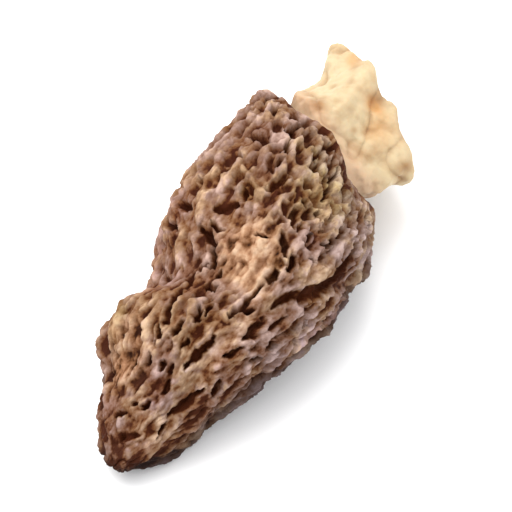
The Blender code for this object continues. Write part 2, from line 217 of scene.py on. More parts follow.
# Grooves and slots that stand out on the top: half their width in units of CUT_WIDTH_UNIT, then for each of
# their points the millimetres from the tip and the degrees round from +Y. FLOOR, BROW and RIM_FROM say where
# the floor and the slope end and where the rim starts, as shares of half the width
CUT_WIDTH_UNIT = 0.00150
CUT_DEEPER = 0.00050
DEEPEST = 0.00195
CUT_WANDER = 0.00038
CUT_RAGGED = 0.38
CUT_END = 0.62
CUT_FLOOR, CUT_BROW = 0.30, 1.35
RIM_FROM, RIM_WIDTH = 1.4, 0.0006
CUTS = (
    (0.54, 39.5, 159, 36.0, 162, 32.5, 164, 29.0, 162, 25.5, 157, 22.8, 150, 21.8, 142, 20.4, 136),
    (0.34, 18.2, 137, 16.1, 140, 14.6, 141), (0.28, 13.5, 143, 12.5, 140), (0.38, 22.6, 123, 21.4, 121),
    (0.24, 20.5, 120, 19.0, 119, 17.0, 121, 15.4, 121), (0.32, 12.8, 123, 11.5, 122, 10.5, 119, 9.7, 116),
    (0.32, 9.1, 143, 8.1, 141, 7.1, 139, 6.0, 134), (0.26, 5.2, 137, 4.4, 145),
    (0.36, 27.8, 117, 26.2, 120, 24.8, 124), (0.36, 25.6, 129, 23.6, 130), (0.34, 33.7, 118, 29.8, 120),
    (0.3, 36.3, 118, 34.8, 119), (0.3, 32.4, 97, 35.2, 100, 37.0, 103),
    (0.5, 37.3, 67, 38.2, 74, 38.4, 80), (0.28, 41.2, 91, 39.5, 93), (0.26, 38.1, 93, 36.6, 94),
    (0.34, 25.8, 42, 25.3, 53), (0.3, 24.5, 28, 23.5, 44), (0.38, 23.5, 66, 22.4, 79),
    (0.34, 24.4, 73, 24.2, 81), (0.32, 21.5, 78, 20.3, 80), (0.38, 19.0, 70, 17.0, 78),
    (0.34, 16.5, 76, 14.6, 80), (0.34, 13.9, 79, 12.4, 83), (0.36, 12.5, 95, 11.6, 97),
    (0.34, 29.8, 84, 28.6, 86), (0.26, 25.0, 104, 25.4, 110), (0.3, 36.8, 128, 35.4, 130),
    (0.28, 32.2, 140, 34.2, 146), (0.3, 26.4, 73, 27.6, 84), (0.28, 28.9, 53, 28.5, 57),
    (0.28, 43.0, 106, 43.6, 109), (0.26, 45.3, 114, 44.8, 118), (0.3, 2.5, 83, 2.8, 100, 3.0, 117),
    (0.34, 10.5, 151, 10.0, 156), (0.34, 24.0, 8, 23.1, 20), (0.28, 18.3, 89, 17.5, 96),
    (0.28, 20.0, 87, 19.5, 92), (0.24, 5.3, 83, 5.5, 90), (0.22, 5.6, 98, 5.7, 103),
    (0.34, 8.2, 18, 7.9, 34), (0.32, 30.0, 177, 34.4, 185), (0.32, 24.9, 182, 26.5, 185),
    (0.34, 19.6, 180, 20.1, 173), (0.24, 14.8, 100, 13.5, 105), (0.22, 11.7, 80, 10.4, 83),
    (0.24, 11.7, 106, 10.9, 106), (0.3, 20.0, 28, 17.4, 50), (0.22, 9.3, 78, 8.8, 80),
    (0.22, 8.5, 62, 8.7, 67), (0.26, 8.9, 94, 9.0, 97), (0.24, 9.2, 103, 8.9, 106),
    (0.24, 7.7, 107, 7.3, 114), (0.26, 15.7, 106, 14.5, 107), (0.22, 4.0, 64, 4.3, 75),
    (0.26, 17.3, 122, 17.9, 127), (0.3, 44.4, 89, 43.0, 88, 41.6, 86), (0.26, 45.2, 83, 44.8, 86),
    (0.3, 44.4, 176, 43.5, 172), (0.26, 45.4, 134, 44.9, 138), (0.24, 34.0, 71, 33.6, 73),
    (0.24, 44.6, 127, 41.1, 126, 39.0, 125), (0.24, 21.6, 165, 21.3, 168), (0.24, 15.9, 157, 16.8, 160),
    (0.26, 14.0, 158, 15.0, 162), (0.22, 19.5, 75, 20.3, 75), (0.24, 30.2, 131, 31.8, 133),
    (0.22, 27.4, 139, 28.0, 142),
)

# Where the outside lies a little lower than the source's, as the spots below and with the depth last
TRIMMED = ((11, 192, 7, 26, 0.80), (9, 24, 2.5, 26, 0.60), (0, 0, 2.5, 90, 0.35))

# Where the skin is rubbed warm tan, where it is pale and smooth, where it is sunk and darker, which is
# partly painted shade, as along the main furrow and under the tip, and where it is tinted olive or pink:
# millimetres from the tip, degrees, half the length in millimetres, half the width in degrees, and how much.
# Less than 0 turns the effect round, so such a shaded spot is painted lighter
PATCH_RAGGED = 0.7
RUBBED = (
    (22.4, 100, 2.8, 19, 1.0), (25.2, 112, 2.4, 14, 0.6), (20.3, 113, 1.6, 9, 0.6),
    (17.6, 128, 2.0, 7, 0.45), (13.2, 132, 2.2, 8, 0.45), (9.2, 49, 3.4, 27, 0.75),
    (28.0, 146, 3.0, 6, 0.35),
)
PALE = (
    (23.8, 113, 1.9, 10, 0.8), (11.6, 133, 1.9, 8, 0.9), (30.1, 151, 1.6, 6, 0.8),
    (14.4, 131, 1.5, 7, 0.6), (6.2, 124, 1.4, 14, 0.6), (4.5, 60, 1.3, 20, 0.5), (40.6, 60, 1.8, 12, 0.5),
    (37.3, 59, 1.8, 10, 0.5), (39.6, 104, 2.0, 7, 0.55), (28.3, 72, 1.5, 6, 0.6), (26.0, 65, 1.4, 6, 0.6),
    (21.6, 70, 1.5, 8, 0.4), (14.3, 69, 1.3, 10, 0.45), (41.3, 134, 3.0, 5, 0.45),
    (24.0, 146, 1.5, 5, 0.45), (20.2, 104, 1.3, 7, 0.5), (37.0, 156, 2.6, 5, 0.6),
    (33.4, 153, 2.2, 5, 0.6), (24.4, 142, 1.6, 5, 0.5), (17.8, 136, 1.8, 5, 0.45),
    (12.4, 126, 1.6, 6, 0.35), (8.4, 114, 1.6, 7, 0.5), (4.7, 51, 1.2, 18, 0.35), (23.7, 57, 1.1, 6, 0.5),
    (26.2, 61, 1.2, 6, 0.4), (22.0, 62, 1.0, 6, 0.4), (24.6, 85, 1.1, 5, 0.4), (25.8, 87, 1.3, 6, 0.45),
    (38.4, 107, 1.3, 5, 0.4), (16.5, 112, 1.3, 6, 0.35), (17.6, 124, 1.4, 5, 0.4),
)
SHADED = (
    (37.1, 76, 1.4, 7, 0.8), (33.4, 101, 1.6, 5, 0.8), (25.8, 52, 1.3, 8, 0.7), (27.2, 80, 1.5, 8, 0.7),
    (22.9, 68, 1.2, 6, 0.7), (26.8, 123, 1.8, 4, 0.7), (19.6, 35, 1.4, 10, 0.7), (16.7, 79, 1.3, 8, 0.7),
    (12.4, 90, 1.3, 8, 0.7), (13.5, 112, 1.4, 6, 0.6), (8.4, 18, 1.4, 14, 0.8), (2.5, 103, 0.9, 16, 0.7),
    (10.5, 170, 1.8, 8, 0.7), (13.9, 185, 2.0, 9, 0.6), (25.2, 176, 2.0, 5, 0.6),
    (3.5, 187, 1.4, 16, 0.8), (35.0, 88, 1.0, 5, 0.5), (30.0, 60, 1.2, 6, 0.5), (38.7, 79, 1.3, 6, 0.7),
    (33.9, 87, 1.1, 5, 0.6), (35.8, 109, 1.2, 4, 0.6), (42.1, 126, 1.4, 5, 0.6), (31.0, 111, 1.2, 5, 0.5),
    (23.1, 27, 1.3, 9, 0.6), (3.9, 127, 1.1, 12, 0.5), (36.0, 140, 4.6, 14, -0.75),
    (36.0, 162, 2.6, 3, 0.7), (31.0, 164, 2.6, 3, 0.7), (26.2, 159, 2.2, 3, 0.6), (26.2, 72, 1.0, 5, 0.5),
    (24.2, 137, 2.2, 7, -0.9), (28.8, 147, 2.2, 5, -0.8), (33.6, 155, 2.4, 5, -0.8),
    (25.8, 120, 1.8, 7, 0.5), (25.0, 80, 1.4, 7, 0.4), (14.1, 74, 1.6, 9, 0.5), (3.4, 106, 1.6, 16, 0.5),
    (14.5, 131, 1.3, 6, 0.3), (11.2, 139, 2.0, 8, -0.6), (8.2, 122, 2.2, 12, -0.5),
    (16.9, 150, 1.8, 6, -0.5), (42.2, 108, 2.6, 12, -0.4), (32.3, 78, 2.0, 8, -0.4),
    (44.0, 139, 1.6, 8, -0.4), (30.0, 187, 4.0, 8, 0.6), (21.4, 142, 1.2, 4, 0.7),
    (23.8, 154, 1.5, 3, 0.7), (28.6, 164, 1.8, 3, 0.5), (33.4, 167, 2.0, 3, 0.5),
    (10.3, 36, 1.8, 18, -0.8), (18.0, 136, 1.3, 3, 0.5), (15.2, 139, 1.3, 3, 0.5),
    (2.6, 222, 1.8, 26, 0.9), (0.4, 175, 0.9, 50, 0.7), (5.4, 203, 1.8, 9, 0.6), (3.7, 82, 1.0, 12, 0.6),
    (11.2, 139, 0.8, 5, 0.5), (12.9, 156, 0.8, 5, 0.5),
)
OLIVE = (
    (43.5, 118, 4.0, 22, 0.8), (37.0, 116, 5.0, 14, 0.6), (42.0, 140, 5.0, 10, 0.6),
    (13.1, 36, 2.0, 14, 0.8), (9.4, 34, 1.8, 14, 0.6), (24.4, 122, 1.6, 6, 0.6), (30.6, 86, 2.0, 7, 0.5),
    (16.4, 134, 3.0, 7, 0.4),
)
PINK = (
    (21.5, 182, 4.5, 10, 0.8), (28.0, 192, 6.0, 9, 0.7), (23.1, 357, 3.0, 22, 0.8),
    (17.2, 44, 2.4, 12, 0.7), (25.5, 40, 2.6, 10, 0.6), (22.4, 92, 1.8, 7, 0.5), (12.0, 140, 2.2, 6, 0.6),
    (5.0, 40, 2.4, 22, 0.6), (33.0, 134, 3.4, 7, 0.5), (30.0, 170, 4.0, 6, 0.4), (6.5, 100, 2.6, 16, 0.6),
    (3.0, 140, 2.0, 30, 0.6),
)
# The same on the stem, where the brown spots are partly painted shade by the cap's margin and at the stem's
# edges, and the notch in its torn rim
NOTCH_DEPTH, NOTCH_SIDE = 0.0007, (46, 0.45, 2)
TAN_ON_STEM = ((54.0, 113, 1.0, 10, 1.00), (52.8, 134, 1.7, 13, 0.75), (55.6, 66, 1.0, 9, 0.60))
BROWN_AND_SHADE_ON_STEM = (
    (48.6, 82, 1.0, 9, 0.8), (47.5, 76, 0.7, 6, 0.5), (55.6, 111, 0.9, 8, 0.95),
    (55.0, 156, 0.8, 9, 0.75), (52.3, 168, 1.3, 5, 0.7), (51.2, 101, 0.6, 4, 0.45),
    (50.0, 118, 0.5, 4, 0.45), (53.6, 95, 0.6, 4, 0.4), (54.9, 76, 0.7, 5, 0.4),
    (49.0, 138, 0.7, 5, 0.35),
)


def unit(value):
    return np.clip(value, 0.0, 1.0)


def smooth_step(low, high, value):
    share = unit((value - low) / (high - low))
    return share * share * (3.0 - 2.0 * share)


def curve_through(knots, values, x):
    """A smooth curve through the values at the knots, level beyond the first and the last."""
    slopes = np.gradient(values, knots)
    left = np.clip(np.searchsorted(knots, x) - 1, 0, len(knots) - 2)
    span = knots[left + 1] - knots[left]
    t = unit((x - knots[left]) / span)
    return (
        (2 * t**3 - 3 * t**2 + 1) * values[left]
        + (t**3 - 2 * t**2 + t) * span * slopes[left]
        + (3 * t**2 - 2 * t**3) * values[left + 1]
        + (t**3 - t**2) * span * slopes[left + 1]
    )


def section(x):
    """Radius, bow and height of the middle at x."""
    knots = SECTIONS[:, 0]
    return [curve_through(knots, SECTIONS[:, column], x) for column in (1, 2, 3)]


def point_at(x, reach, angle):
    """The point at a reach from the middle line, at an angle round it from +Y."""
    _, bow, middle = section(x)
    sideways = reach * np.cos(angle)
    upward = FLATNESS * reach * np.sin(angle)
    askew = smooth_step(SLANT_FROM, SLANT_TO, x)
    forward = askew * (SLANT * sideways - LEAN * upward)
    return np.stack((x + forward, bow + sideways, middle + upward), axis=-1)


def nose(x):
    """How far the section has grown, from 0 at the cap's tip to 1 past its rounding."""
    return np.sqrt(1.0 - (1.0 - unit(x / TIP_ROUNDING)) ** 2)


def turn_from(degrees, angle):
    """How far an angle is turned on from one in degrees."""
    return (angle - np.radians(degrees) + math.pi) % (2 * math.pi) - math.pi


def fade_round(angle, degrees, spread, power):
    """1 at an angle in degrees, and less on both sides of it."""
    return np.exp(-((turn_from(degrees, angle) / spread) ** power))


def on_circle(angle):
    return np.stack((np.cos(angle), np.sin(angle), np.zeros_like(angle)), axis=-1)


def dent_depth(x, angle):
    """How far the wall has sunk in at its dents."""
    radius = section(x)[0]
    total = np.zeros_like(x)
    for at, degrees, depth, length, width in DENTS:
        aside = turn_from(degrees, angle) * radius
        total = total + depth * np.exp(-(((x - at) / length) ** 2) - (aside / width) ** 2)
    return total


def body_reach(x, angle):
    """The cap's radius without its folds and its net."""
    reach = section(x)[0] * nose(x)
    body = smooth_step(0.0, SWELLINGS_FADE, x)
    body = body * (1.0 - smooth_step(CAP_LENGTH - SWELLINGS_FADE, CAP_LENGTH, x))
    for share, around, along, phase in SWELLINGS:
        reach = reach * (1.0 + body * share * np.sin(around * angle + along * x + phase))
    return reach - dent_depth(x, angle)


def fold_depth(x, angle):
    """How far the wall has sunk in along its folds."""
    radius = section(x)[0]
    depth = np.zeros_like(x)
    for points, deepest, half_width in FOLDS:
        knots, degrees = np.array(points, float).T
        aside = turn_from(curve_through(knots, degrees, x), angle) * radius
        ends = smooth_step(knots[0] - FOLD_FADE, knots[0] + FOLD_FADE, x)
        ends = ends * (1.0 - smooth_step(knots[-1] - FOLD_FADE, knots[-1] + FOLD_FADE, x))
        depth = np.maximum(depth, deepest * ends * np.exp(-((aside / half_width) ** 2)))
    return depth


def squeeze(x, angle):
    """0 where the pits are as deep as they can be, and 1 where they are squeezed the most."""
    sunk = smooth_step(0.0, SQUEEZING_DEPTH, fold_depth(x, angle) + dent_depth(x, angle))
    return np.maximum(sunk, 1.0 - smooth_step(0.0, SQUEEZED_TIP, x))


def cap_outline():
    """x, radius and length along the skin, from the tip to past the margin."""
    steps = np.linspace(0.0, 1.0, 900)
    x = (CAP_LENGTH + GUARD_RINGS * PIT_LENGTH) * steps**2
    radius = section(x)[0] * nose(x)
    lengths = np.hypot(np.diff(x), np.diff(radius))
    return x, radius, np.concatenate(([0.0], np.cumsum(lengths)))


OUTLINE_X, OUTLINE_RADIUS, OUTLINE_ALONG = cap_outline()
MARGIN_ALONG = float(np.interp(CAP_LENGTH, OUTLINE_X, OUTLINE_ALONG))


def radius_at(along):
    return np.interp(along, OUTLINE_ALONG, OUTLINE_RADIUS)


def pit_stretch(along):
    """How much longer than wide a pit's place on the disc is made on the skin."""
    lengthwise = 2.0 / 3.0**0.5 * PIT_WIDTH / PIT_LENGTH
    far = smooth_step(ROUND_PITS_TO, LONG_PITS_FROM, along)
    return 1.0 + (1.0 / lengthwise - 1.0) * far


def flat_map_radius():
    """Log of the radius at which each part of the cap's skin lies when it is spread on a disc."""
    middle_radius = np.maximum((OUTLINE_RADIUS[1:] + OUTLINE_RADIUS[:-1]) / 2, 1e-5)
    growth = np.diff(OUTLINE_ALONG) / (pit_stretch(OUTLINE_ALONG)[1:] * middle_radius)
    log_radius = np.concatenate(([0.0], np.cumsum(growth)))
    return log_radius - log_radius[-1]


FLAT_LOG_RADIUS = flat_map_radius()


def to_flat(along, angle):
    radius = np.exp(np.interp(along, OUTLINE_ALONG, FLAT_LOG_RADIUS))
    return np.stack((radius * np.cos(angle), radius * np.sin(angle)), axis=-1)


def ring_of_middles(draw, along, count, start, length, jitter_around, jitter_along):
    """One ring of a net's pits, as length along the skin and angle, a little out of line."""
    ring = []
    for number in range(count):
        aside = number + start + draw.uniform(-jitter_around, jitter_around)
        forward = draw.uniform(-jitter_along, jitter_along) * length
        ring.append((along + forward, aside * 2 * math.pi / count))
    return ring


def pit_middles(draw):
    """Where the pits are: staggered rings."""
    middles = [(0.0, 0.0)]
    ring = -GUARD_RINGS
    while True:
        along = MARGIN_ALONG - (0.25 + 0.5 * ring) * PIT_LENGTH
        if along < FIRST_PITS:
            return np.array(middles)
        girth = 2 * math.pi * radius_at(along)
        wanted = girth / (2 * PIT_WIDTH)
        count = min(PITS_IN_A_RING, key=lambda number: abs(number - wanted))
        start = 0.5 * (ring % 2)
        middles += ring_of_middles(draw, along, count, start, PIT_LENGTH, JITTER_AROUND, JITTER_ALONG)
        ring += 1


def skin_frame(along, angle):
    """The cap's smooth skin at a length along it from the tip, and the way out of it."""
    step, turn = 1e-4, 1e-3

    def surface(along, angle):
        x = np.interp(along, OUTLINE_ALONG, OUTLINE_X)
        return point_at(x, body_reach(x, angle), angle)

    along = np.maximum(along, 3 * step)
    lengthwise = surface(along + step, angle) - surface(along - step, angle)
    crosswise = surface(along, angle + turn) - surface(along, angle - turn)
    outward = np.cross(crosswise, lengthwise)
    outward /= np.linalg.norm(outward, axis=-1, keepdims=True)
    return surface(along, angle), outward


def noise(points, size, seed, stretch=1.0):
    """Smooth noise from about -1 to 1, in lumps of a size, longer along X by the stretch."""
    generator = np.random.default_rng(seed)
    table = generator.permutation(256)
    slopes = generator.normal(size=(256, 3))
    slopes /= np.linalg.norm(slopes, axis=1, keepdims=True)
    places = points / (size * np.array((stretch, 1.0, 1.0))) + generator.uniform(0.0, 99.0, 3)
    cells = np.floor(places).astype(int)
    inside = places - cells
    ease = inside**3 * (inside * (inside * 6.0 - 15.0) + 10.0)
    total = np.zeros(points.shape[:-1])
    for corner in itertools.product((0, 1), repeat=3):
        at = (cells + corner) & 255
        picked = table[(table[(table[at[..., 0]] + at[..., 1]) & 255] + at[..., 2]) & 255]
        weight = np.prod(np.where(corner, ease, 1.0 - ease), axis=-1)
        total += weight * np.sum(slopes[picked] * (inside - corner), axis=-1)
    return 1.6 * total


def creases(points, size, seed, stretch=1.0):
    """Sharp valleys, 0 at their bottoms and up to 1 between them."""
    return unit(np.abs(noise(points, size, seed, stretch)) * 2.0)


def cut_marks(x, angle, places):
    """1 in the grooves and slots that stand out, and 1 on the rims beside them."""
    radius = np.maximum(np.interp(x, OUTLINE_X, OUTLINE_RADIUS), 0.001)
    wander = [noise(places, 0.0013, seed) + 0.6 * noise(places, 0.0005, seed + 4) for seed in (32, 33)]
    x = x + CUT_WANDER * wander[0]
    angle = angle + CUT_WANDER * wander[1] / radius
    ragged = 1.0 + CUT_RAGGED * noise(places, 0.0010, 37)
    marks = np.zeros_like(x)
    rims = np.zeros_like(x)
    for half_width, *numbers in CUTS:
        points = list(zip(numbers[::2], numbers[1::2]))
        last = len(points) - 1
        for number in range(last):
            (x1, degrees1), (x2, degrees2) = points[number : number + 2]
            along = x - x1 * 1e-3
            aside = turn_from(degrees1, angle) * radius
            run = (x2 - x1) * 1e-3
            drift = math.radians(degrees2 - degrees1) * radius
            share = unit((along * run + aside * drift) / (run**2 + drift**2))
            away = np.hypot(along - share * run, aside - share * drift)
            to_end = np.minimum(number + share, last - number - share) / last
            thinned = CUT_END + (1.0 - CUT_END) * smooth_step(0.0, 0.5, to_end)
            half = half_width * CUT_WIDTH_UNIT * ragged * thinned
            marks = np.maximum(marks, 1.0 - smooth_step(CUT_FLOOR * half, CUT_BROW * half, away))
            rim = RIM_FROM * half
            rims = np.maximum(rims, 1.0 - smooth_step(rim, rim + RIM_WIDTH, away))
    return marks, rims * (1.0 - marks)


def spot(x, angle, at, degrees, length, spread):
    """1 in the middle of an oval spot, fading out around it."""
    aside = turn_from(degrees, angle) / math.radians(spread)
    return np.exp(-(((x - at) / length) ** 2) - aside**2)


def spot_sum(x, angle, spots):
    """The sum of some spots of a table, each times its share."""
    total = np.zeros_like(x)
    for at, degrees, length, spread, share in spots:
        total += share * spot(x, angle, at * 1e-3, degrees, length * 1e-3, spread)
    return total


def patches(x, angle, places, spots, seed):
    """The sum of the spots, from -1 to 1, with ragged edges."""
    ragged = 1.0 + PATCH_RAGGED * noise(places, 0.0018, seed)
    return np.clip(spot_sum(x, angle, spots) * ragged, -1.0, 1.0)


def pair_number(one, other):
    """A number from 0 to 1 that two neighbouring pits share."""
    low, high = np.minimum(one, other), np.maximum(one, other)
    return np.modf(np.abs(np.sin(low * 12.9898 + high * 78.233)) * 43758.5453)[0]


def slot_middles(draw):
    """Where the fine net's small slots are."""
    middles = []
    along = FIRST_PITS
    while along < MARGIN_ALONG + 2 * FINE_SLOT_LENGTH:
        girth = 2 * math.pi * radius_at(along)
        count = max(5, round(girth / FINE_SLOT_WIDTH))
        middles += ring_of_middles(draw, along, count, draw.random(), FINE_SLOT_LENGTH, *FINE_JITTER)
        along += 0.5 * 3.0**0.5 * FINE_SLOT_LENGTH
    return np.array(middles)


def borders(middles, along, angle, count):
    """The borders round each place in a net: the numbers of its pit and of the one beyond the border,
    how far off the border is in metres, and from 0 to 1 how squarely it crosses the cap's length."""
    seeds = to_flat(middles[:, 0], middles[:, 1])
    tree = KDTree(len(seeds))
    for number, seed in enumerate(seeds):
        tree.insert((seed[0], seed[1], 0.0), number)
    tree.balance()
    flat = to_flat(along, angle)
    near = np.array([[hit[1] for hit in tree.find_n((p[0], p[1], 0.0), count)] for p in flat.tolist()])
    distance = np.linalg.norm(flat[:, None] - seeds[near], axis=-1)
    flat_radius = np.linalg.norm(flat, axis=-1)
    radial = flat / flat_radius[:, None]
    across = np.stack((-radial[:, 1], radial[:, 0]), axis=-1)
    scale = np.maximum(radius_at(along), 1e-4) / flat_radius
    stretch = pit_stretch(along)
    own = near[:, 0]
    for column in range(1, count):
        other = near[:, column]
        way = seeds[other] - seeds[own]
        gap = np.linalg.norm(way, axis=-1)
        way /= gap[:, None]
        forward = np.sum(way * radial, axis=-1)
        sideways = np.sum(way * across, axis=-1)
        to_border = (distance[:, column] ** 2 - distance[:, 0] ** 2) / (2.0 * gap)
        metres = to_border * scale / np.hypot(forward / stretch, sideways)
        yield own, other, metres, smooth_step(0.70, 0.92, np.abs(forward))


def between(limits, share):
    return limits[0] + (limits[1] - limits[0]) * share


def fine_net(along, angle, flank):
    """The fine net's height, from 0 in its slots to 1, and how deep the slot at each place is."""
    ribs = np.zeros_like(along)
    middles = slot_middles(random.Random(SEED + 1))
    for own, other, metres, crosswise in borders(middles, along, angle, NEAREST_SLOTS):
        picked = pair_number(own, other)
        cross = between(FINE_CROSS_RIB, picked) * (1.0 - 0.8 * flank)
        height = between(FINE_LONG_RIB, picked)
        height = (height + (cross - height) * crosswise) / FINE_LONG_RIB[1]
        ribs = np.maximum(ribs, height * (1.0 - smooth_step(FINE_RIDGE_TOP, FINE_RIDGE_FOOT, metres)))
        slot = between(SLOT_DEPTH, pair_number(own, own + 2) ** 1.5)
    return ribs, slot


def net_relief(along, angle, places, flank):
    """The net's height, from 0 in the pits to 1 on the highest ridges, and how near a crest is, which the
    cap's colour takes for a painted highlight.
    """
    radius = np.maximum(radius_at(along), 0.002)
    for size, forward, aside, seed, other_seed in WANDER:
        along = along + forward * noise(places, size, seed)
        angle = angle + aside * noise(places, size, other_seed) / radius
    width = 1.0 + RIDGE_WIDTH_CHANGE * noise(places, 0.0021, 15)
    total = np.zeros_like(along)
    crest = np.zeros_like(along)
    middles = pit_middles(random.Random(SEED))
    for own, other, metres, crosswise in borders(middles, along, angle, NEAREST_PITS):
        picked = pair_number(own, other)
        cross = between(CROSS_RIB, picked)
        cross = cross + (between(FLANK_CROSS_RIB, picked) - cross) * flank
        height = between(LONG_RIDGE, picked)
        height = height + (cross - height) * crosswise
        away = metres / width * (1.25 - 0.5 * pair_number(other + 3, own + 3))
        ridge = height * (1.0 - smooth_step(RIDGE_TOP, RIDGE_FOOT, away))
        total += ridge**BLEND_POWER
        crest = np.maximum(crest, height * (1.0 - smooth_step(0.0, CREST_WIDTH, away)))
    floor = between(PIT_FLOOR, pair_number(own, own + 1))
    raised = FLOORS_RAISED * fade_round(angle, *RAISED_SIDE)
    raised = raised * (1.0 - RAISED_LESS * smooth_step(*RAISED_END, along))
    total += (floor + raised * (1.0 - floor)) ** BLEND_POWER
    ribs, slot = fine_net(along, angle, flank)
    strength = np.clip(0.7 + 0.5 * noise(places, 0.0050, 17), 0.0, 1.1)
    total += (FINE_LONG_RIB[1] * ribs * strength) ** BLEND_POWER
    height = np.minimum(total ** (1.0 / BLEND_POWER), NET_TOP)
    sunk = slot * (1.0 - ribs) * smooth_step(0.35, 0.75, height)
    return height - sunk, crest * (1.0 - smooth_step(0.0, 0.20, sunk))


def ring_angles(count):
    return np.linspace(0.0, 2 * math.pi, count, endpoint=False)


def grid(alongs, count):
    """Lengths along and angles of all the points of some rings, ring by ring."""
    angle, along = np.meshgrid(ring_angles(count), alongs)
    return along.ravel(), angle.ravel()


def margin_retreat(angle):
    """How far the cap's margin is drawn back from the source's even one, or less than 0 beyond it."""
    circle = on_circle(angle)
    degrees, distances = np.array(MARGIN).T
    retreat = curve_through(degrees, distances, np.degrees(angle) % 360.0)
    return retreat + 0.00030 * (noise(circle, 0.30, 18) + 0.6 * noise(circle, 0.12, 19))


def wrinkle_marks(places):
    """How high the wrinkles stand in metres, and the tone that they give the skin, from 0 to 1, which is
    painted shade in their valleys and painted light on their lumps.
    """
    heights = np.zeros(len(places))
    tones = np.full(len(places), WRINKLE_SHADE_MIDDLE)
    for height, tone, size, seed, stretch, sharp in WRINKLES:
        if sharp:
            marks = (1.0 - creases(places, size, seed, stretch)) ** sharp
        else:
            marks = noise(places, size, seed, stretch)
        heights += height * marks
        tones += tone * marks
    return heights, unit(tones)


def cap_outside():
    """The rings of the cap's outside and the tones of its points."""
    tip = grid(np.linspace(FIRST_RING, TIP_TO, TIP_ROWS, endpoint=False), TIP_AROUND)
    body = grid(np.linspace(TIP_TO, MARGIN_ALONG, CAP_ROWS), CAP_AROUND)
    along = np.concatenate((tip[0], body[0]))
    angle = np.concatenate((tip[1], body[1]))
    along = along - smooth_step(MARGIN_ALONG - MARGIN_FADE, MARGIN_ALONG, along) * margin_retreat(angle)
    x = np.interp(along, OUTLINE_ALONG, OUTLINE_X)
    top, outward = skin_frame(along, angle)
    flank = smooth_step(*FLANK_START, x) * fade_round(angle, *FLANK_SIDE)
    lined = LINED_SHARE * spot(x, angle, *LINED)
    height, crest = net_relief(along, angle, top, np.maximum(flank, lined))
    cuts, rims = cut_marks(x, angle, top)
    pale = patches(x, angle, top, PALE, 34)
    # Spots that sink the net and darken it, partly painted shade; below 0 they paint it lighter
    shaded = patches(x, angle, top, SHADED, 36)
    tip = 1.0 - smooth_step(*TIP_END, x)
    upper = smooth_step(*UPPER_START, x) * fade_round(angle, *UPPER_SIDE)
    height += TIP_LIFT * tip * unit(TIP_LIFT_TO - height)
    height += PALE_LIFT * pale * unit(PALE_LIFT_TO - height)
    height += RIM_LIFT * rims * unit(RIM_LIFT_TO - height)
    height -= UPPER_SINK * upper * np.clip(UPPER_SINK_FROM - height, 0.0, UPPER_SINK_AT_MOST)
    height = np.minimum(height * (1.0 - SHADED_SINK * shaded), HIGHEST) * (1.0 - cuts)
    wrinkles, wrinkle_shade = wrinkle_marks(top)
    wrinkles *= (1.0 + TIP_ROUGHER * tip) * (1.0 - PALE_SMOOTHER * pale)
    deep = PIT_DEPTH * (1.0 - SQUEEZED_SHARE * squeeze(x, angle)) * (1.0 - TIP_SHALLOWER * tip)
    sunk = deep * (1.0 - height) + CUT_DEEPER * cuts + 1e-3 * spot_sum(x, angle, TRIMMED) - wrinkles
    sunk = np.minimum(sunk, DEEPEST) * (1.0 - TIP_SUNK_LESS * tip) + fold_depth(x, angle)
    rolled = smooth_step(MARGIN_ALONG - ROLL_WIDTH, MARGIN_ALONG, along + margin_retreat(angle))
    sunk = sunk * (1.0 - ROLL_FILLED * rolled) + ROLL_DEPTH * rolled
    point = top - outward * sunk[:, None]
    point[:, 2] = np.maximum(point[:, 2], 0.0)
    low_shade_end = LOW_SHADE_UP_TO[1] + LOW_SHADE_MORE_AT_TIP * (1.0 - smooth_step(0.0, LOW_SHADE_TIP_END, x))
    facing_up = outward[:, 2] + LOW_SHADE_RAGGED * noise(top, 0.0026, 40)
    unshaded_part = smooth_step(*LOW_SHADE_FACING, facing_up) * smooth_step(LOW_SHADE_UP_TO[0], low_shade_end, point[:, 2])
    tones = {
        "relief": unit(height),
        # Crest lines and the rims beside the slots, where the colour paints a highlight
        "crest": unit(np.maximum(crest, 0.85 * rims) - cuts) * (1.0 - 0.4 * tip),
        "wrinkle_shading": wrinkle_shade,
        "pale": pale,
        "shaded": shaded,
        "flank": flank,
        "tip": tip,
        # Painted shade on the underside near the floor
        "low": 1.0 - unshaded_part,
        "inside": np.zeros(len(point)),
    }
    for name, spots, seed in (("rubbed", RUBBED, 35), ("olive", OLIVE, 38), ("pink", PINK, 39)):
        tones[name] = patches(x, angle, top, spots, seed)
    return split_rings(point, tones, [TIP_AROUND] * TIP_ROWS + [CAP_AROUND] * CAP_ROWS)


def split_rings(point, tones, counts):
    """The rings' points, and the tones as one row a point."""
    ends = np.cumsum(counts)[:-1]
    return np.split(point, ends), {name: np.split(tone, ends) for name, tone in tones.items()}


def shares(count):
    return np.arange(1, count + 1) / count


def lip_rings(border, angle):
    """From the margin round the edge of the cap to the top of the socket."""
    drawn_back = margin_retreat(angle)
    goal_x = CAP_LENGTH + 0.3 * LIP - SOCKET_FOLLOWS * drawn_back
    goal = point_at(goal_x, SOCKET_RADIUS + 0.3 * LIP, angle)
    outer_x = CAP_LENGTH + 0.6 * LIP - drawn_back
    outer = point_at(outer_x, body_reach(CAP_LENGTH, angle) - LIP, angle)
    inner = point_at(outer_x, SOCKET_RADIUS + 2.0 * LIP, angle)
    rings = []
    for t in shares(LIP_ROWS):
        s = 1.0 - t
        ring = s**3 * border + 3 * s**2 * t * outer + 3 * s * t**2 * inner + t**3 * goal
        rough = 0.00030 * noise(ring, 0.0014, 41) + 0.00014 * noise(ring, 0.0006, 42)
        ring[:, 0] += rough * (1.0 - t**4)
        aside = 0.00024 * noise(ring, 0.0012, 43) * (1.0 - t**4)
        ring[:, 1:] += aside[:, None] * np.stack((np.cos(angle), np.sin(angle)), axis=-1)
        rings.append(ring)
    return rings


